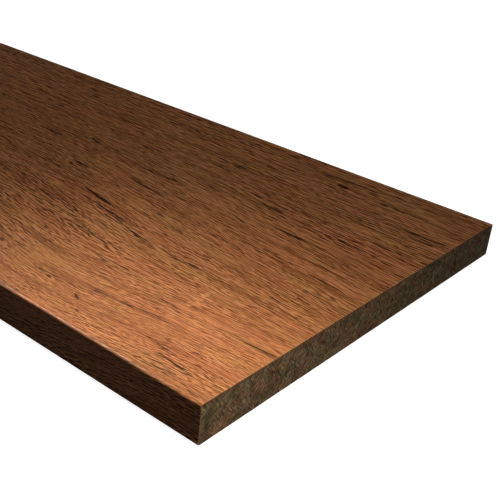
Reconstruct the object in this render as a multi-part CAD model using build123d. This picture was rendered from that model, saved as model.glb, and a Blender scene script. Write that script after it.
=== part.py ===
"""Bamboo stair riser: one solid board of pressed bamboo strands, lying flat with its finished face up.

The riser closes the upright of a step. Its back is glued to the stair, its lower edge stands on one tread,
its upper edge meets the underside of the next, and its ends butt against the stringers.

Frame, in millimetres: X runs along the strands, Y across the board from the lower edge to the upper edge,
and Z from the back to the finished face. The origin is the centre of the back.
"""

import os

from build123d import *

# Driving dimensions
LENGTH = 1219.2  # between the two sawn ends, a 48 in stock length
WIDTH = 190.5  # lower edge to upper edge, a 7 1/2 in rise
THICKNESS = 15.0  # back to finished face
FACE_EDGE_RADIUS = 0.9  # the eased corners between the finished face and the long edges
BACK_EDGE_RADIUS = 0.8  # the eased corners between the back and the long edges


def moulded_section():
    """The section that leaves the moulder: a rectangle standing on Z = 0, with its four corners eased."""
    blank = Rectangle(WIDTH, THICKNESS, align=(Align.CENTER, Align.MIN))
    back_corners, face_corners = blank.vertices().group_by(Axis.Y)
    section = fillet(back_corners, BACK_EDGE_RADIUS)
    kept_corners = [section.vertices().sort_by_distance(corner)[0] for corner in face_corners]
    return fillet(kept_corners, FACE_EDGE_RADIUS)


def riser_board():
    """The section run along the strands and sawn square at both ends, whose edges stay sharp."""
    return extrude(Plane.YZ * moulded_section(), amount=LENGTH / 2, both=True)


os.makedirs("parts", exist_ok=True)
export_step(riser_board(), "parts/riser_board.step")
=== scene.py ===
"""The bamboo stair riser as it looks: one board of pressed bamboo strands lying on a pale floor.

The face and the long edges are stained and lacquered, the ends are bare from the saw, and the back is
only sanded. The strands are drawn through the whole thickness, so the face and the long edges show one
and the same board. The sawn ends have a mottle of cut fibres of their own.
"""

import math
import random

import bmesh
import bpy
from mathutils import Matrix, Vector


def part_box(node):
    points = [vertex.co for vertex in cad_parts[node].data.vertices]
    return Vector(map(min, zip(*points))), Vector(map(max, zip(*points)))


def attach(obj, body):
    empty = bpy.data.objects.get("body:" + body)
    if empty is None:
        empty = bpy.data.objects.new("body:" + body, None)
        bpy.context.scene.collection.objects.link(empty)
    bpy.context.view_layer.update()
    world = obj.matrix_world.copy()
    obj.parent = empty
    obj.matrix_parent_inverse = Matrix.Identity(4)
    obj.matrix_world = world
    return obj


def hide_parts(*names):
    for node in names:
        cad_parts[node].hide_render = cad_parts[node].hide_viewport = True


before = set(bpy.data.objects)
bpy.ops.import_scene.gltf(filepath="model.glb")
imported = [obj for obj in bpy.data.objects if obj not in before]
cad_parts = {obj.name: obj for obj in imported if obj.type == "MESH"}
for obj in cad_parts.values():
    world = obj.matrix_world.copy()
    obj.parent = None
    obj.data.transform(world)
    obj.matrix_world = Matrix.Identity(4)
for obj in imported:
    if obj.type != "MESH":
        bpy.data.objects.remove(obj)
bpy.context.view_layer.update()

MM = 0.001
low_corner, high_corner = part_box("riser_board")
near_corner = Vector((high_corner.x, low_corner.y, high_corner.z))
LENGTH, WIDTH, THICKNESS = (high_corner - low_corner) / MM

# The board's edges, in millimetres
FACE_EASING = 0.9  # radius between the finished face and the long edges
BACK_EASING = 0.8  # radius between the back and the long edges
RUBBED_ARRIS = 0.12  # the sawn ends' edges, rubbed by handling
ARRIS_DRIFT = 0.08  # how much that rubbing varies
ARRIS_SEED = 7
EASING_STEPS = 8
FACE_STEPS = 64
EDGE_STEPS = 5
LENGTH_STEPS = 48

# The texture map: pixels for each millimetre, finer across the strands than along them
MAP_SIDE = 1024
MAP_GAP = 8
FACE_ACROSS = 2.9
BACK_ACROSS = 1.7
EDGE_ACROSS = 3.2
END_DENSITY = 4.0

# The strands' lean and wander, in millimetres
LEAN_REACH = 12.7  # the long wave that all strands follow
LEAN_LENGTH = 700.0
LEAN_MIDDLE = -65.0  # where it leans most, from the near end
LEAN_LESSENS = (80.0, 150.0, 1.0, 0.45)  # it is less by the upper edge
TWIST_REACH = 20.0  # near the lower corner the strands turn the other way
TWIST_START, TWIST_END = -110.0, 20.0
TWIST_FULL, TWIST_GONE = 30.0, 80.0
SLOW_WANDER = ((260.0, 70.0, 40.0), 5.0)  # size of the noise, and how far it pushes the strands aside
QUICK_WANDER = ((60.0, 18.0, 12.0), 1.2)
RISE_AND_DIP = ((70.0, 30.0, 12.0), 3.0)

# The fibres' light and dark, in millimetres
FIBRES = (
    # length, spacing, how far from the near corner they show best, how far to each side of that, and weight
    (2.3, 0.86, 0.0, 85.0, 1.35),
    (3.4, 1.25, 75.0, 80.0, 1.5),
    (4.5, 1.5, 150.0, 85.0, 2.1),
    (6.0, 1.9, 230.0, 90.0, 2.7),
)
AWAY_ALONG = 0.2  # away from the near corner is the way across and this share of the way along
FIBRE_SOFTNESS = 0.5
FIBRE_CROWD = 0.62  # how many fibres lie side by side before the next bundle
DEPTH_SHARE = 0.7  # fibres lie less close to each other in the board's depth than across its face
RELIEF = (6.0, 0.9, 0.8)  # size of the open pores felt on the surface
STRANDS = ((42.0, 4.5, 3.5), 0.28)  # size of the broad strands, and how much their tones differ

# Threads of several fibres, straight and lighter or darker than their neighbours: length, breadth and weight
THREADS = (
    (9.0, 0.8, 0.22),
    (22.0, 1.2, 0.22),
    (55.0, 2.2, 0.17),
)
THREADS_CLEARER = (0.0, 200.0, 1.0, 2.0)  # they show more away from the near corner
THREAD_SHIFT = 4.0  # how far the fibres in a thread lie ahead of or behind their neighbours
ROUGH_PATCHES = ((30.0, 6.0, 5.0), 0.3, 0.7, 0.6, 1.3)  # size, the noise's range, how much the fibres show
TONE_MIDDLE = 0.56
WARM_STRANDS = ((75.0, 9.0, 5.0), 0.32, 0.68)  # size, and the noise's values from olive to red

# The sawn ends, in millimetres and degrees
CUT_SLANTS = (38.0, -55.0)  # the cut fibres lie in bundles at two slants
CUT_FIBRE = (1.9, 0.30)  # length and breadth of a cut fibre
CUT_BUNDLES = ((40.0, 5.0, 4.0), 0.42, 0.58)  # size, and the noise's values from one slant to the other
CUT_PATCHES = (30.0, 6.5, 3.6)  # size of the lighter and darker patches
CUT_HUES = ((40.0, 8.0, 5.0), 0.36, 0.64)  # size, and the noise's values from olive to red
CUT_FIBRE_TONE, CUT_PATCH_TONE, CUT_MIDDLE = 1.2, 0.7, 0.46
STAIN_WANDER = ((4.0, 1.5, 1.5), 0.8)
STAIN_FRINGE = (1.0, 0.2, 0.0, 0.8)  # how far below the face its stain ends and is full, and how much shows

# Resin gathers in dark needles, crowded on some strands
CROWD = ((46.0, 4.0, 3.5), 0.56, 0.80)  # size, and the noise's values where crowding starts and is full
NEEDLES = ((13.0, 0.34), (22.0, 0.66))  # length and breadth of a needle, at the near corner and far from it
NEEDLES_GROW = (30.0, 170.0)  # how far from the near corner they change from one to the other
NEEDLE_START, NEEDLE_FULL = 1.0, 1.15
NEEDLE_CROWDED = 0.56  # how much lower both stand on a crowded strand
NEEDLE_IN_DARK = 0.4  # how much they keep to the dark fibres
SMUDGE = ((11.0, 1.8, 1.4), 0.5, 0.66)  # size, and the noise's values where a smudge starts and is full

# The dark streaks that mark this board's near end: from the end, from the lower edge, length, slope and width
MAIN_STREAKS = (
    # by the lower edge
    (20.0, 9.3, 20.0, -0.08, 0.9),
    (27.0, 13.0, 9.0, -0.20, 1.4),
    (70.0, 13.8, 5.0, -0.60, 1.0),
    (90.0, 16.3, 11.0, -0.15, 0.9),
    (88.0, 17.5, 26.0, 0.05, 0.8),
    (66.0, 22.0, 9.0, 0.10, 1.6),
    (45.0, 24.8, 28.0, 0.15, 0.6),
    (47.0, 34.0, 16.0, 0.0, 0.9),
    (118.0, 40.0, 5.0, -0.20, 1.4),
    (114.0, 48.7, 6.0, -0.20, 0.9),
    # below the middle
    (125.0, 59.0, 10.0, -0.15, 1.2),
    (59.5, 60.3, 22.0, 0.13, 0.9),
    (143.0, 60.5, 16.0, -0.20, 0.9),
    (86.0, 61.0, 16.0, -0.20, 1.2),
    (98.0, 64.0, 38.0, -0.27, 0.8),
    (23.0, 63.7, 8.0, -0.20, 1.4),
    (60.5, 70.0, 6.0, -0.10, 0.9),
    (16.0, 71.0, 8.0, -0.13, 0.9),
    (86.0, 72.0, 10.0, -0.40, 0.8),
    (128.5, 75.5, 23.0, -0.20, 1.2),
    (84.0, 77.5, 10.0, -0.15, 0.8),
    (44.0, 80.4, 12.0, -0.05, 0.8),
    (100.0, 83.0, 12.0, -0.20, 1.4),
    (19.0, 88.0, 22.0, -0.12, 0.9),
    (135.0, 91.0, 12.0, -0.20, 0.9),
    # above the middle
    (120.0, 98.0, 34.0, -0.18, 1.1),
    (74.0, 105.0, 12.0, -0.40, 1.3),
    (51.0, 110.0, 22.0, 0.0, 1.0),
    (127.0, 113.3, 31.0, 0.10, 1.1),
    (73.0, 125.0, 15.0, 0.0, 1.2),
    (57.0, 131.6, 22.0, -0.05, 0.8),
    (83.5, 135.0, 5.0, -0.10, 1.1),
    (115.0, 143.0, 12.0, -0.30, 1.4),
    (55.0, 145.3, 10.0, -0.15, 0.9),
    # by the upper edge
    (12.5, 148.0, 15.0, 0.0, 1.2),
    (37.0, 150.0, 8.0, 0.0, 0.9),
    (110.0, 151.0, 20.0, -0.10, 0.9),
    (5.0, 153.0, 10.0, 0.0, 0.9),
    (140.0, 165.0, 14.0, -0.25, 0.9),
    (36.0, 168.5, 32.0, -0.03, 0.8),
    (95.0, 170.5, 9.0, 0.0, 1.2),
    (67.0, 171.0, 7.0, -0.15, 1.4),
    # further along the board
    (174.5, 62.5, 5.0, -0.30, 1.0),
    (165.5, 66.0, 4.0, 0.0, 1.4),
    (169.0, 85.0, 20.0, -0.25, 1.2),
    (160.0, 93.5, 16.0, -0.20, 1.5),
    (241.0, 111.0, 8.0, -0.60, 1.4),
    (164.0, 118.7, 11.0, -0.05, 0.9),
    (179.0, 119.5, 9.0, -0.30, 1.4),
    (262.0, 127.0, 6.0, -0.35, 1.0),
    (181.0, 134.7, 16.0, -0.33, 1.0),
    (210.0, 135.3, 19.0, -0.33, 1.2),
    (231.0, 140.6, 9.0, -0.25, 1.2),
    (176.0, 145.7, 12.0, 0.0, 1.0),
    (254.5, 148.0, 9.0, 0.0, 1.0),
    (288.0, 152.0, 16.0, -0.28, 1.2),
    (231.0, 167.0, 7.0, -0.10, 1.0),
    (156.0, 167.0, 12.0, 0.0, 0.9),
)
STREAK_REACH = (0.0, 200.0, 0.7, 1.5)  # reach to each side, from the near corner to 200 mm away from it
STREAK_ENDS = 6.0  # how bluntly a streak ends
STREAK_WANDER = 0.5  # the share of the strands' quick wander that it follows
STREAK_DEPTH = 1.5  # how far the marked streaks reach below the face
STREAK_CROWDED = 1.3  # how much more crowded they are than the other strands

# The scars of bamboo nodes, which cross the strands: from the end, from the lower edge, and span
NODE_SCARS = (
    (41.0, 39.0, 26.0),
    (318.0, 120.0, 30.0),
    (505.0, 60.0, 46.0),
    (742.0, 140.0, 36.0),
    (905.0, 45.0, 40.0),
    (1098.0, 110.0, 44.0),
)
SCAR_WIDTH = 2.6
SCAR_FLECKS = ((1.7, 1.1, 1.1), 2.2)  # size of the pits and curls, and how much they stand out
SCAR_PALE = 0.22  # more of them are pale than dark
SCAR_BREAKS = ((9.0, 7.0, 7.0), 0.4, 0.6)  # size, and the noise's values where a scar is broken and whole
SCAR_ENDS = 4.0  # how bluntly a scar ends
SCAR_WANDER = ((14.0, 9.0, 9.0), 8.0)

# Wear and finish, with lengths in millimetres
ARRIS_BREAKS = ((2.5, 2.5, 2.5), 0.7)  # size of the breaks in a rubbed arris, and how far they shift it
FACE_RUB = (0.7, 0.25)  # how far the rubbing reaches, and how pale it is
END_RUB = (0.5, 0.3)
BACK_RUB = (0.8, 0.3)
SHEEN_STRETCH = 0.25  # the clouds of uneven sheen are drawn out along the board
SHEEN_CLOUDS = (0.3, 0.7)  # the noise's values where a cloud starts and is full
FACE_SHEEN, BACK_SHEEN = 26.0, 40.0  # size of the clouds
SMUDGE_SHARE = 0.2  # how much a smudge greys the face
BACK_STREAKS = 0.6  # how dark the needles are on the sanded back
BACK_FIGURE = 0.8  # how much of the face's fibres and crowded strands the back shows
FACE_ROUGHNESS = (0.5, 0.4)  # from the darkest tone to the palest
SHEEN_ROUGHENS = 0.1
BACK_ROUGHNESS = (0.62, 0.75)
FACE_RELIEF, END_RELIEF, BACK_RELIEF = 0.006, 0.02, 0.008

# The floor and the studio around it
FLOOR_REACH = 4.0  # in metres, from the middle to each side
FLOOR_GAP = 0.1  # in millimetres, below the board
FLOOR_GLOW = 0.90  # the floor's own white
FLOOR_SEEN, FLOOR_UNSEEN = (0.5, 0.5, 0.5), (0.06, 0.06, 0.06)  # its paint to the camera, and to other rays
MIRRORED_SHARE = 0.05  # how much of the white shows in reflections
WORLD_LIGHT = 0.036  # the dim light from all around
WHITE = (1.0, 1.0, 1.0)

# The photograph's camera, measured from the near upper corner of the board, in millimetres and degrees
CAMERA_FROM_CORNER = (131.03, -160.07, 154.83)
CAMERA_HEADING = 36.79
CAMERA_DIP = 26.66
CAMERA_ROLL = 6.13
LENS = 64.0
SENSOR = 36.0

# Colours as linear light
FACE_DARK = (0.055, 0.010, 0.0)
FACE_MIDDLE = (0.226, 0.082, 0.0260)
FACE_PALE = (0.440, 0.192, 0.074)
RESIN = (0.024, 0.006, 0.001)
SMUDGE_GREY = (0.050, 0.034, 0.022)
RUBBED_PALE = (0.30, 0.175, 0.10)
END_DARK = (0.040, 0.027, 0.016)
END_MIDDLE = (0.125, 0.081, 0.046)
END_PALE = (0.280, 0.190, 0.115)
END_RED = (1.10, 0.95, 0.86)
END_OLIVE = (0.91, 1.01, 0.92)
END_STAIN = (0.12, 0.045, 0.014)
BACK_DARK = (0.090, 0.042, 0.017)
BACK_MIDDLE = (0.190, 0.095, 0.044)
BACK_PALE = (0.300, 0.165, 0.088)
HUE_OLIVE = (0.98, 1.01, 0.93)
HUE_RED = (1.06, 0.96, 1.0)


class Wiring:
    """Places nodes in one tree. A socket given as an input is linked, and any other value is set."""

    def __init__(self, tree):
        self.tree = tree

    def give(self, socket, value):
        if isinstance(value, bpy.types.NodeSocket):
            self.tree.links.new(value, socket)
        elif hasattr(value, "__len__") and len(value) == 3 and socket.type == "RGBA":
            socket.default_value = (*value, 1.0)
        else:
            socket.default_value = value

    def node(self, kind, inputs=None, **settings):
        node = self.tree.nodes.new(kind)
        for name, value in settings.items():
            setattr(node, name, value)
        for key, value in (inputs or {}).items():
            self.give(node.inputs[key], value)
        return node

    def math(self, operation, *values, clamp=False):
        node = self.node("ShaderNodeMath", dict(enumerate(values)), operation=operation, use_clamp=clamp)
        return node.outputs[0]

    def vector(self, operation, *values):
        return self.node("ShaderNodeVectorMath", dict(enumerate(values)), operation=operation).outputs[0]

    def join(self, x, y, z):
        return self.node("ShaderNodeCombineXYZ", {"X": x, "Y": y, "Z": z}).outputs[0]

    def split(self, vector):
        return self.node("ShaderNodeSeparateXYZ", {"Vector": vector}).outputs

    def board_place(self):
        """The point in millimetres: along from the near end, across from the lower edge, up from the back."""
        corner = Vector((high_corner.x, low_corner.y, low_corner.z))
        from_corner = self.vector("SUBTRACT", self.node("ShaderNodeTexCoord").outputs["Object"], corner)
        return self.vector("DIVIDE", from_corner, (MM, MM, MM))

    def noise(self, place, size, detail=0.0):
        """Soft noise whose grains measure size = (along, across, deep), with all in millimetres."""
        inputs = {"Vector": self.vector("DIVIDE", place, size), "Scale": 1.0, "Detail": detail}
        return self.node("ShaderNodeTexNoise", inputs, noise_dimensions="3D").outputs[0]

    def patches(self, place, size, low, high, start=0.0, end=1.0, detail=0.0):
        """Noise as patches: start where the noise is low, and end where it is high."""
        return self.step(self.noise(place, size, detail), low, high, start, end)

    def fibres(self, along, across, length, spacing):
        """Light and dark fibres, about 0: along and across are places in millimetres."""
        aside = self.math("DIVIDE", across, spacing * FIBRE_CROWD)
        place = self.join(self.math("DIVIDE", along, length), aside, 0.0)
        inputs = {"Vector": place, "Scale": 1.0, "Frequency": FIBRE_CROWD, "Orientation": math.pi / 2}
        value = self.node("ShaderNodeTexGabor", inputs, gabor_type="2D").outputs["Value"]
        return self.step(value, 0.5 - FIBRE_SOFTNESS / 2, 0.5 + FIBRE_SOFTNESS / 2, -0.5, 0.5)

    def slivers(self, along, across, length, breadth):
        """Slender cells of one tone each, from 0 to 1: along and across are places in millimetres."""
        place = self.join(self.math("DIVIDE", along, length), self.math("DIVIDE", across, breadth), 0.0)
        inputs = {"Vector": place, "Scale": 1.0, "Randomness": 1.0}
        return self.node("ShaderNodeTexVoronoi", inputs, voronoi_dimensions="2D").outputs["Color"]

    def sway(self, place, size, reach):
        """Noise about zero, reach wide."""
        return self.math("MULTIPLY", self.math("SUBTRACT", self.noise(place, size), 0.5), reach)

    def step(self, value, low, high, start=0.0, end=1.0):
        """A smooth step from start, where value is low, to end, where it is high."""
        inputs = {"Value": value, "From Min": low, "From Max": high, "To Min": start, "To Max": end}
        return self.node("ShaderNodeMapRange", inputs, interpolation_type="SMOOTHSTEP").outputs[0]

    def blend(self, share, first, second):
        return self.node("ShaderNodeMix", {0: share, 2: first, 3: second}, data_type="FLOAT").outputs[0]

    def mix(self, share, first, second, mode="MIX"):
        inputs = {0: share, 6: first, 7: second}
        return self.node("ShaderNodeMix", inputs, data_type="RGBA", blend_type=mode).outputs[2]

    def ramp(self, value, *colours):
        """A colour ramp through evenly spaced colours."""
        node = self.node("ShaderNodeValToRGB", {"Fac": value})
        stops = node.color_ramp.elements
        last = len(colours) - 1
        for index in range(1, last):
            stops.new(index / last)
        for stop, colour in zip(stops, colours):
            stop.color = (*colour, 1.0)
        return node.outputs[0]

    def placed(self, tree, inputs=None):
        """A node group with its own values, as its outputs."""
        node = self.node("ShaderNodeGroup", node_tree=tree)
        for name, value in (inputs or {}).items():
            self.give(node.inputs[name], value)
        return node.outputs


def new_group(name, inputs, outputs):
    """An empty shader node group with number inputs, given as {name: default}, and number outputs."""
    tree = bpy.data.node_groups.new(name, "ShaderNodeTree")
    for label, value in inputs.items():
        socket = tree.interface.new_socket(name=label, in_out="INPUT", socket_type="NodeSocketFloat")
        socket.default_value = value
    for label in outputs:
        tree.interface.new_socket(name=label, in_out="OUTPUT", socket_type="NodeSocketFloat")
    given = tree.nodes.new("NodeGroupInput").outputs
    result = tree.nodes.new("NodeGroupOutput").inputs
    return tree, Wiring(tree), given, result


def resin_streak_group():
    """One marked streak: 1 on its line, falling to 0 at its ends and to its sides."""
    tree, w, given, result = new_group(
        "resin_streak",
        {"Along": 0.0, "Across": 0.0, "Reach": 1.5,
         "From End": 0.0, "From Lower Edge": 0.0, "Length": 30.0, "Slope": 0.0, "Width": 1.0},
        ("Nearness",),
    )
    along = w.math("ADD", given["Along"], given["From End"])
    aside = w.math("SUBTRACT", given["Across"], given["From Lower Edge"])
    aside = w.math("SUBTRACT", aside, w.math("MULTIPLY", along, given["Slope"]))
    half = w.math("MULTIPLY", given["Length"], 0.5)
    ends = w.math("POWER", w.math("ABSOLUTE", w.math("DIVIDE", along, half)), STREAK_ENDS)
    share = w.math("DIVIDE", aside, w.math("MULTIPLY", given["Reach"], given["Width"]))
    spread = w.math("MULTIPLY_ADD", share, share, ends)
    w.give(result["Nearness"], w.math("SUBTRACT", 1.0, spread, clamp=True))
    return tree


def node_scar_group():
    """One scar of a bamboo node: a narrow broken band across the strands."""
    tree, w, given, result = new_group(
        "node_scar",
        {"Along": 0.0, "Across": 0.0, "From End": 0.0, "From Lower Edge": 0.0, "Span": 40.0},
        ("Scar",),
    )
    along = w.math("DIVIDE", w.math("ADD", given["Along"], given["From End"]), SCAR_WIDTH)
    across = w.math("SUBTRACT", given["Across"], given["From Lower Edge"])
    across = w.math("DIVIDE", across, w.math("MULTIPLY", given["Span"], 0.5))
    ends = w.math("POWER", w.math("ABSOLUTE", across), SCAR_ENDS)
    spread = w.math("ADD", w.math("MULTIPLY", along, along), ends)
    w.give(result["Scar"], w.math("SUBTRACT", 1.0, spread, clamp=True))
    return tree


def highest(w, values):
    """The largest of several values."""
    top = values[0]
    for value in values[1:]:
        top = w.math("MAXIMUM", top, value)
    return top


def strand_group():
    """The pressed strands: light and dark fibres, resin streaks, smudges, warmer strands, and relief."""
    tree, w, given, result = new_group(
        "pressed_strands",
        {"Fibre Contrast": 1.0, "Streak Cover": 1.0},
        ("Tone", "Streaks", "Smudges", "Warmth", "Relief"),
    )
    place = w.board_place()
    x, y, z = w.split(place)

    # The strands follow a long wave, turn at the lower corner, and wander from side to side
    turn = w.math("MULTIPLY", w.math("SUBTRACT", x, LEAN_MIDDLE), 2 * math.pi / LEAN_LENGTH)
    lean_reach = w.math("MULTIPLY", w.step(y, *LEAN_LESSENS), LEAN_REACH)
    lean = w.math("MULTIPLY", w.math("SINE", turn), lean_reach)
    twist = w.step(x, TWIST_START, TWIST_END, 0.5, -0.5)
    twist = w.math("MULTIPLY", twist, w.step(y, TWIST_GONE, TWIST_FULL))
    quick = w.sway(place, *QUICK_WANDER)
    side = w.math("ADD", w.math("MULTIPLY_ADD", twist, TWIST_REACH, lean), quick)
    side = w.math("ADD", side, w.sway(place, *SLOW_WANDER))
    along = w.join(x, w.math("ADD", y, side), w.math("ADD", z, w.sway(place, *RISE_AND_DIP)))

    # Node scars are broken bands of pits and pale curls with no direction of their own
    bent = w.math("ADD", x, w.sway(place, *SCAR_WANDER))
    scars = node_scar_group()
    scar = highest(w, [
        w.placed(scars, {
            "Along": bent, "Across": y, "From End": from_end, "From Lower Edge": from_edge, "Span": span,
        })["Scar"]
        for from_end, from_edge, span in NODE_SCARS
    ])
    in_face = w.step(z, THICKNESS - 2 * STREAK_DEPTH, THICKNESS - STREAK_DEPTH)
    scar = w.math("MULTIPLY", scar, w.math("MULTIPLY", in_face, w.patches(place, *SCAR_BREAKS)))
    tone = w.math("MULTIPLY", w.math("ADD", w.sway(place, *SCAR_FLECKS), SCAR_PALE), scar)

    # Fibres show one by one at the near corner, and more in threads and strands away from it
    away = w.math("MINIMUM", w.math("MULTIPLY_ADD", x, -AWAY_ALONG, y), FIBRES[-1][2])
    _, turned, deep = w.split(along)
    across = w.math("MULTIPLY_ADD", deep, DEPTH_SHARE, turned)
    shift = 0.0
    threads = 0.0
    for length, breadth, weight in THREADS:
        thread = w.math("SUBTRACT", w.slivers(x, across, length, breadth), 0.5)
        threads = w.math("MULTIPLY_ADD", thread, weight, threads)
        shift = w.math("ADD", shift, thread)
    tone = w.math("MULTIPLY_ADD", threads, w.step(away, *THREADS_CLEARER), tone)
    shifted = w.math("MULTIPLY_ADD", shift, THREAD_SHIFT, x)
    roughness = w.patches(along, *ROUGH_PATCHES)
    for length, spacing, best, reach, weight in FIBRES:
        share = w.step(w.math("ABSOLUTE", w.math("SUBTRACT", away, best)), reach, 0.0, 0.0, weight)
        fibre = w.math("MULTIPLY", w.fibres(shifted, across, length, spacing), roughness)
        tone = w.math("MULTIPLY_ADD", fibre, share, tone)
    tone = w.math("ADD", tone, w.sway(along, *STRANDS))
    shown = w.math("MULTIPLY_ADD", tone, given["Fibre Contrast"], TONE_MIDDLE, clamp=True)
    w.give(result["Tone"], shown)

    # The marked streaks lie in the finished face
    streak = resin_streak_group()
    swayed = w.math("MULTIPLY_ADD", quick, STREAK_WANDER, y)
    reach = w.step(away, *STREAK_REACH)
    nearness = highest(w, [
        w.placed(streak, {
            "Along": x, "Across": swayed, "Reach": reach, "From End": from_end, "From Lower Edge": from_edge,
            "Length": length, "Slope": slope, "Width": width,
        })["Nearness"]
        for from_end, from_edge, length, slope, width in MAIN_STREAKS
    ])
    nearness = w.math("MULTIPLY", nearness, w.math("MULTIPLY", in_face, STREAK_CROWDED))

    # Needles stand on crowded strands and by the marked streaks, and keep to the dark fibres
    crowd = w.patches(along, *CROWD, detail=1.0)
    crowd = w.math("MAXIMUM", w.math("MULTIPLY", crowd, given["Streak Cover"]), nearness)
    fine, coarse = (w.slivers(x, across, length, breadth) for length, breadth in NEEDLES)
    needles = w.blend(w.step(away, *NEEDLES_GROW), fine, coarse)
    needles = w.math("MULTIPLY_ADD", crowd, NEEDLE_CROWDED, needles)
    needles = w.math("MULTIPLY_ADD", tone, -NEEDLE_IN_DARK, needles)
    w.give(result["Streaks"], w.step(needles, NEEDLE_START, NEEDLE_FULL))
    w.give(result["Smudges"], w.math("MULTIPLY", crowd, w.patches(along, *SMUDGE)))
    w.give(result["Warmth"], w.patches(along, *WARM_STRANDS, detail=2.0))
    w.give(result["Relief"], w.noise(along, RELIEF))
    return tree


def rubbed_arris_group():
    """Wear along every arris of the board: 1 on the edge, broken up and fading out over Reach millimetres."""
    tree, w, given, result = new_group("rubbed_arris", {"Reach": 0.6}, ("Rub",))
    place = w.board_place()
    x, y, z = w.split(place)
    from_end = w.math("MINIMUM", w.math("MULTIPLY", x, -1.0), w.math("ADD", x, LENGTH))
    from_side = w.math("MINIMUM", y, w.math("SUBTRACT", WIDTH, y))
    from_face = w.math("MINIMUM", z, w.math("SUBTRACT", THICKNESS, z))
    smaller = w.math("MINIMUM", from_end, from_side)
    larger = w.math("MAXIMUM", from_end, from_side)
    middle = w.math("MAXIMUM", smaller, w.math("MINIMUM", larger, from_face))
    broken = w.math("ADD", middle, w.sway(place, *ARRIS_BREAKS))
    w.give(result["Rub"], w.step(broken, given["Reach"], 0.0))
    return tree


def handling_group():
    """Soft uneven sheen, as a board gets from sanding, rollers and hands."""
    tree, w, given, result = new_group("handling_sheen", {"Size": 30.0}, ("Sheen",))
    place = w.board_place()
    x, y, z = w.split(place)
    stretched = w.join(w.math("MULTIPLY", x, SHEEN_STRETCH), y, z)
    size = w.join(given["Size"], given["Size"], given["Size"])
    w.give(result["Sheen"], w.patches(stretched, size, *SHEEN_CLOUDS, detail=2.0))
    return tree


def cleared(owner):
    """The wiring of a material or a world that has no nodes yet."""
    owner.use_nodes = True
    owner.node_tree.nodes.clear()
    return Wiring(owner.node_tree)


def new_material(name):
    """A material with one shader: the material, its wiring and the shader."""
    material = bpy.data.materials.new(name)
    w = cleared(material)
    shader = w.node("ShaderNodeBsdfPrincipled")
    w.node("ShaderNodeOutputMaterial", {"Surface": shader.outputs[0]})
    return material, w, shader


def rubbed_pale(w, groups, colour, reach, share):
    """The colour, made paler where the arrises are rubbed."""
    rub = w.placed(groups["arris"], {"Reach": reach})["Rub"]
    return w.mix(w.math("MULTIPLY", rub, share), colour, RUBBED_PALE)


def add_relief(w, shader, height, depth):
    """A surface that rises by depth millimetres where height is 1."""
    bump = w.node("ShaderNodeBump", {"Strength": 1.0, "Distance": depth * MM, "Height": height})
    w.give(shader.inputs["Normal"], bump.outputs[0])


def lacquered_material(groups):
    """The stained face and long edges under a satin lacquer."""
    material, w, shader = new_material("lacquered_strands")
    figure = w.placed(groups["strands"])
    sheen = w.placed(groups["handling"], {"Size": FACE_SHEEN})["Sheen"]
    colour = w.ramp(figure["Tone"], FACE_DARK, FACE_MIDDLE, FACE_PALE)
    colour = w.mix(1.0, colour, w.mix(figure["Warmth"], HUE_OLIVE, HUE_RED), "MULTIPLY")
    colour = w.mix(w.math("MULTIPLY", figure["Smudges"], SMUDGE_SHARE), colour, SMUDGE_GREY)
    colour = w.mix(figure["Streaks"], colour, RESIN)
    w.give(shader.inputs["Base Color"], rubbed_pale(w, groups, colour, *FACE_RUB))
    rough = w.step(figure["Tone"], 0.0, 1.0, *FACE_ROUGHNESS)
    w.give(shader.inputs["Roughness"], w.math("MULTIPLY_ADD", sheen, SHEEN_ROUGHENS, rough))
    add_relief(w, shader, figure["Relief"], FACE_RELIEF)
    shader.inputs["IOR"].default_value = 1.45
    shader.inputs["Specular IOR Level"].default_value = 0.2
    return material


def sawn_material(groups):
    """The bare sawn ends: the strands cut across, greyed and mottled."""
    material, w, shader = new_material("sawn_end_grain")
    place = w.board_place()
    _, y, z = w.split(place)
    slanted = []
    for slant in map(math.radians, CUT_SLANTS):
        along = w.math("MULTIPLY_ADD", z, math.sin(slant), w.math("MULTIPLY", y, math.cos(slant)))
        across = w.math("MULTIPLY_ADD", y, -math.sin(slant), w.math("MULTIPLY", z, math.cos(slant)))
        slanted.append(w.slivers(along, across, *CUT_FIBRE))
    fibres = w.blend(w.patches(place, *CUT_BUNDLES), *slanted)
    tone = w.math("MULTIPLY_ADD", w.math("SUBTRACT", fibres, 0.5), CUT_FIBRE_TONE, CUT_MIDDLE)
    patches = w.math("SUBTRACT", w.noise(place, CUT_PATCHES, 1.0), 0.5)
    tone = w.math("MULTIPLY_ADD", patches, CUT_PATCH_TONE, tone, clamp=True)
    colour = w.ramp(tone, END_DARK, END_MIDDLE, END_PALE)
    hues = w.patches(place, *CUT_HUES, detail=1.0)
    colour = w.mix(1.0, colour, w.mix(hues, END_OLIVE, END_RED), "MULTIPLY")
    fringe = w.math("ADD", w.math("SUBTRACT", THICKNESS, z), w.sway(place, *STAIN_WANDER))
    colour = w.mix(w.step(fringe, *STAIN_FRINGE), colour, END_STAIN)
    w.give(shader.inputs["Base Color"], rubbed_pale(w, groups, colour, *END_RUB))
    shader.inputs["Roughness"].default_value = 0.85
    shader.inputs["Specular IOR Level"].default_value = 0.15
    add_relief(w, shader, fibres, END_RELIEF)
    return material


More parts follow.
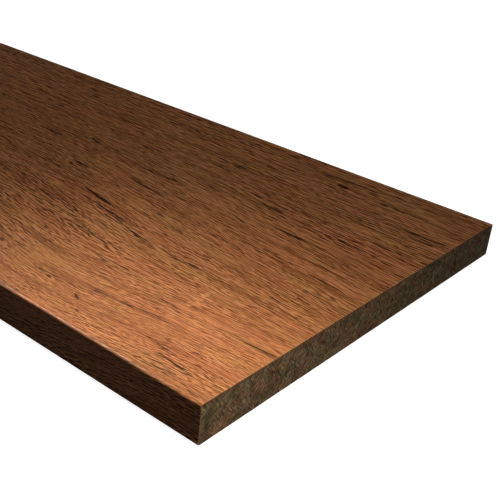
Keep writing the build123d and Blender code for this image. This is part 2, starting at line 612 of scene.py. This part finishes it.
def sanded_material(groups):
    """The back: sanded, with no lacquer."""
    material, w, shader = new_material("sanded_back")
    figure = w.placed(groups["strands"], {"Fibre Contrast": BACK_FIGURE, "Streak Cover": BACK_FIGURE})
    sheen = w.placed(groups["handling"], {"Size": BACK_SHEEN})["Sheen"]
    colour = w.ramp(figure["Tone"], BACK_DARK, BACK_MIDDLE, BACK_PALE)
    colour = w.mix(w.math("MULTIPLY", figure["Streaks"], BACK_STREAKS), colour, RESIN)
    w.give(shader.inputs["Base Color"], rubbed_pale(w, groups, colour, *BACK_RUB))
    w.give(shader.inputs["Roughness"], w.step(sheen, 0.0, 1.0, *BACK_ROUGHNESS))
    add_relief(w, shader, figure["Relief"], BACK_RELIEF)
    return material


def section(insets):
    """The moulded section as points (y, z) in metres, from the lower edge's foot round to the back.

    Each point is drawn in by its own inset, so insets has one value for each point.
    """
    half, top = WIDTH / 2, THICKNESS
    corners = (
        (-half + BACK_EASING, BACK_EASING, BACK_EASING, 270, EDGE_STEPS),
        (-half + FACE_EASING, top - FACE_EASING, FACE_EASING, 180, FACE_STEPS),
        (half - FACE_EASING, top - FACE_EASING, FACE_EASING, 90, EDGE_STEPS),
        (half - BACK_EASING, BACK_EASING, BACK_EASING, 0, FACE_STEPS),
    )
    outline = []
    for y, z, radius, start, steps in corners:
        for step in range(EASING_STEPS + 1):
            turn = math.radians(start - 90 * step / EASING_STEPS)
            out = Vector((math.cos(turn), math.sin(turn)))
            outline.append((Vector((y, z)) + radius * out, out, steps))
    points = []
    for index, (here, out, steps) in enumerate(outline):
        points.append((here, out))
        there = outline[(index + 1) % len(outline)][0]
        if (index + 1) % (EASING_STEPS + 1) == 0:
            points += [(here.lerp(there, step / steps), out) for step in range(1, steps)]
    middle = (low_corner.y + high_corner.y) / 2
    drawn = []
    for index, (point, out) in enumerate(points):
        inside = point - out * insets[index % len(insets)]
        drawn.append((middle + inside.x * MM, low_corner.z + inside.y * MM))
    return drawn


def strip_names():
    """For each side of the section, the strip of the board it belongs to and whether it is round."""
    names = []
    for strip, after in (("lower_edge", "lower_edge"), ("lower_edge", "face"),
                         ("upper_edge", "upper_edge"), ("upper_edge", "back")):
        steps = FACE_STEPS if after in ("face", "back") else EDGE_STEPS
        names += [(strip, True)] * EASING_STEPS
        names += [(after, False)] * steps
    return names


def build_board(materials):
    """The board as a mesh: the section run along the length, its rubbed arrises and the two sawn ends."""
    names = strip_names()
    count = len(names)
    full = section([0.0])
    draws = random.Random(ARRIS_SEED)

    def rubbed():
        return [RUBBED_ARRIS + ARRIS_DRIFT * (draws.random() - 0.5) for _ in range(count)]

    run = [0.0]
    for here, there in zip(full, full[1:] + full[:1]):
        run.append(run[-1] + math.dist(here, there) / MM)

    # Rings of points from end to end: a sawn end, its rubbed arris, and the plain length between
    far_rub, near_rub = rubbed(), rubbed()
    rings = [[(low_corner.x, y, z) for y, z in section(far_rub)]]
    for step in range(LENGTH_STEPS + 1):
        ring = []
        for index, (y, z) in enumerate(full):
            start = low_corner.x + far_rub[index] * MM
            end = high_corner.x - near_rub[index] * MM
            ring.append((start + (end - start) * step / LENGTH_STEPS, y, z))
        rings.append(ring)
    rings.append([(high_corner.x, y, z) for y, z in section(near_rub)])

    # The strips stand side by side on the map, with the two ends in rows above them
    density = {"face": FACE_ACROSS, "back": BACK_ACROSS, "lower_edge": EDGE_ACROSS, "upper_edge": EDGE_ACROSS}
    end_row = THICKNESS * END_DENSITY + MAP_GAP
    along = (MAP_SIDE - 2 * MAP_GAP - 2 * end_row) / (LENGTH * MM)
    strip_start, strip_left, left = {}, {}, MAP_GAP
    for name, scale in density.items():
        sides = [side for side in range(count) if names[side][0] == name]
        strip_start[name] = run[sides[0]]
        strip_left[name] = left
        left += (run[sides[-1] + 1] - run[sides[0]]) * scale + MAP_GAP

    mesh = bmesh.new()
    uv = mesh.loops.layers.uv.new("OFBake")
    verts = [[mesh.verts.new(point) for point in ring] for ring in rings]
    slots = {"face": 0, "lower_edge": 0, "upper_edge": 0, "back": 2}
    for ring in range(len(rings) - 1):
        for side, (name, is_round) in enumerate(names):
            corners = ((ring, side), (ring, side + 1), (ring + 1, side + 1), (ring + 1, side))
            face = mesh.faces.new([verts[r][s % count] for r, s in corners])
            face.material_index = slots[name]
            face.smooth = is_round
            for loop, (r, s) in zip(face.loops, corners):
                u = strip_left[name] + (run[s] - strip_start[name]) * density[name]
                v = MAP_GAP + (rings[r][s % count][0] - low_corner.x) * along
                loop[uv].uv = (u / MAP_SIDE, v / MAP_SIDE)

    caps = []
    foot = MAP_SIDE - end_row
    for ring, backwards in ((verts[0], True), (verts[-1], False)):
        cap = mesh.faces.new(ring[::-1] if backwards else ring)
        cap.material_index = 1
        for loop in cap.loops:
            u = MAP_GAP + (loop.vert.co.y - low_corner.y) / MM * END_DENSITY
            v = foot + (loop.vert.co.z - low_corner.z) / MM * END_DENSITY
            loop[uv].uv = (u / MAP_SIDE, v / MAP_SIDE)
        caps.append(cap)
        foot -= end_row
    bmesh.ops.triangulate(mesh, faces=caps)
    mesh.normal_update()

    data = bpy.data.meshes.new("pressed_board")
    mesh.to_mesh(data)
    mesh.free()
    for material in materials:
        data.materials.append(material)
    board = bpy.data.objects.new("pressed_board", data)
    bpy.context.scene.collection.objects.link(board)
    return board


def white_rays(w):
    """The camera's rays as 1, and the same with a share for mirrored rays, which see some white too."""
    ray = w.node("ShaderNodeLightPath").outputs
    mirrored = w.math("MAXIMUM", ray["Is Glossy Ray"], ray["Is Transmission Ray"])
    seen = w.math("MAXIMUM", ray["Is Camera Ray"], w.math("MULTIPLY", mirrored, MIRRORED_SHARE))
    return ray["Is Camera Ray"], seen


def floor_material():
    """A pale floor: nearly white to the camera, with the board's shadow, and dim in what it throws back."""
    material = bpy.data.materials.new("pale_floor")
    w = cleared(material)
    camera, seen = white_rays(w)
    diffuse = w.node("ShaderNodeBsdfDiffuse", {"Color": w.mix(camera, FLOOR_UNSEEN, FLOOR_SEEN)})
    strength = w.math("MULTIPLY", seen, FLOOR_GLOW)
    glow = w.node("ShaderNodeEmission", {"Color": WHITE, "Strength": strength})
    both = w.node("ShaderNodeAddShader", {0: diffuse.outputs[0], 1: glow.outputs[0]})
    w.node("ShaderNodeOutputMaterial", {"Surface": both.outputs[0]})
    return material


def build_floor():
    height = low_corner.z - FLOOR_GAP * MM
    sides = ((-FLOOR_REACH, -FLOOR_REACH), (FLOOR_REACH, -FLOOR_REACH),
             (FLOOR_REACH, FLOOR_REACH), (-FLOOR_REACH, FLOOR_REACH))
    corners = [(x, y, height) for x, y in sides]
    data = bpy.data.meshes.new("floor")
    data.from_pydata(corners, [], [(0, 1, 2, 3)])
    data.materials.append(floor_material())
    floor = bpy.data.objects.new("floor", data)
    bpy.context.scene.collection.objects.link(floor)


def area_lamp(name, place, size, power, aim=(0.0, 0.0, -1.0), colour=WHITE, spread=180.0):
    """A lamp of one rectangle: place and size in metres, a direction to aim, watts, and spread in degrees."""
    lamp = bpy.data.lights.new(name, "AREA")
    lamp.shape = "RECTANGLE"
    lamp.size, lamp.size_y = size
    lamp.energy = power
    lamp.color = colour
    lamp.spread = math.radians(spread)
    holder = bpy.data.objects.new(name, lamp)
    holder.location = place
    holder.rotation_euler = Vector(aim).to_track_quat("-Z", "Y").to_euler()
    holder.visible_camera = False
    bpy.context.scene.collection.objects.link(holder)
    return holder


def light_the_scene():
    # What the photograph shows: light that falls off from the near corner, and a glint along the eased edge
    strip = area_lamp(
        "strip_lamp", place=near_corner + Vector((227.0, 10.0, 80.0)) * MM, size=(0.6655, 0.02), power=0.62,
        colour=(1.0, 0.96, 0.9),
    )
    softbox = area_lamp("overhead_softbox", place=(0.72, 0.17, 0.9), size=(1.2, 0.5), power=3.0)
    for lamp in (strip, softbox):
        lamp.visible_glossy = False
    glint = area_lamp(
        "edge_glint", place=near_corner + Vector((-231.0, -27.0, 234.0)) * MM, size=(0.12, 0.12), power=0.12,
        aim=(0.62, 0.09, -0.78), spread=40.0,
    )
    glint.visible_diffuse = False
    area_lamp(
        "corner_fill", place=near_corner + Vector((260.0, -330.0, 40.0)) * MM, size=(0.1, 0.1), power=0.08,
        aim=(-0.6, 0.75, -0.1), colour=(1.0, 0.9, 0.8),
    )

    # The rest of the board, beyond what the photograph shows
    level = THICKNESS / 2 * MM
    area_lamp("far_softbox", place=(-0.22, 0.0, 0.6), size=(0.84, 0.42), power=0.6, spread=20.0)
    area_lamp("upper_edge_lamp", place=(0.0, 0.40, level), size=(1.5, 0.01), power=0.8, aim=(0.0, -1.0, 0.0))
    area_lamp(
        "lower_edge_lamp", place=(-0.15, -0.45, level), size=(1.0, 0.01), power=0.6, aim=(0.0, 1.0, 0.0),
        spread=40.0,
    )
    area_lamp("far_end_lamp", place=(-0.95, 0.0, level), size=(0.4, 0.01), power=0.8, aim=(1.0, 0.0, 0.0))

    world = bpy.data.worlds.new("studio")
    w = cleared(world)
    _, seen = white_rays(w)
    strength = w.math("MAXIMUM", seen, WORLD_LIGHT)
    back = w.node("ShaderNodeBackground", {"Color": WHITE, "Strength": strength})
    w.node("ShaderNodeOutputWorld", {"Surface": back.outputs[0]})
    bpy.context.scene.world = world


def set_camera():
    lens = bpy.data.cameras.new("camera")
    lens.lens = LENS
    lens.sensor_width = SENSOR
    camera = bpy.data.objects.new("camera", lens)
    bpy.context.scene.collection.objects.link(camera)
    turn = Matrix.Rotation(math.radians(CAMERA_HEADING), 4, "Z")
    tilt = Matrix.Rotation(math.radians(90 - CAMERA_DIP), 4, "X")
    roll = Matrix.Rotation(math.radians(CAMERA_ROLL), 4, "Z")
    place = Matrix.Translation(near_corner + Vector(CAMERA_FROM_CORNER) * MM)
    camera.matrix_world = place @ turn @ tilt @ roll
    bpy.context.scene.camera = camera


groups = {"strands": strand_group(), "arris": rubbed_arris_group(), "handling": handling_group()}
board = build_board([lacquered_material(groups), sawn_material(groups), sanded_material(groups)])
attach(board, "root")
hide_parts("riser_board")
build_floor()
light_the_scene()
set_camera()
bpy.context.scene.view_settings.view_transform = "Standard"
